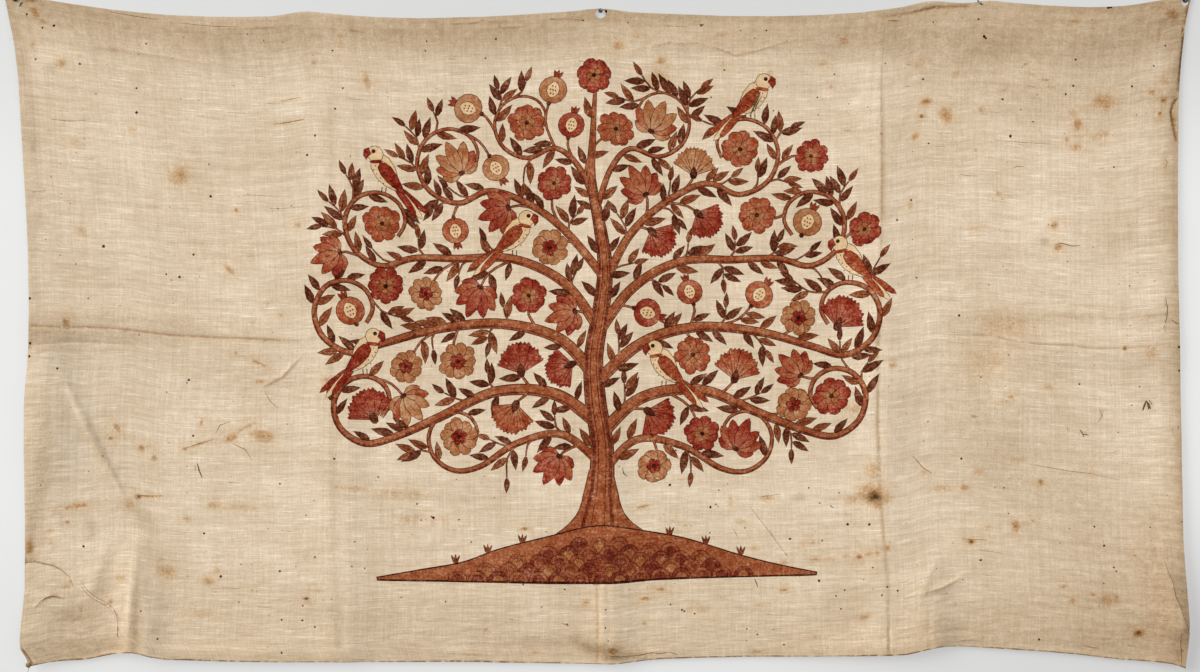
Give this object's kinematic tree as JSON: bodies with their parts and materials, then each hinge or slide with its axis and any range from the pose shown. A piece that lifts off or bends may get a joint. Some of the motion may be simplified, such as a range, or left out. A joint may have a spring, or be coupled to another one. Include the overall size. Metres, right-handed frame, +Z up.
{
  "type": "painted cotton panel hung on wall nails",
  "caption": "Wide hand-painted cotton cloth hanging flat on nails and a bent pin, with soft folds, worn nail holes and a short corner string.",
  "frame": {"origin": "centre of the middle nail's flat end, where it stands on the wall", "axes": "+X to the right along the top edge, +Y into the wall, +Z up; the painted side faces -Y"},
  "size_m": [1.959, 0.0281, 1.1834],
  "materials": {
    "painted_cotton": "unbleached hand-woven cotton, painted with rust and madder dyes, aged and stained",
    "nail_iron": "blackened iron, worn bright at the crown",
    "cotton_string": "twisted undyed cotton string"
  },
  "bodies": {
    "root": {"panel_cloth": "painted_cotton", "nail_left": "nail_iron", "nail_middle": "nail_iron", "nail_right": "nail_iron", "bent_pin": "nail_iron", "corner_string": "cotton_string"}
  },
  "joints": []
}
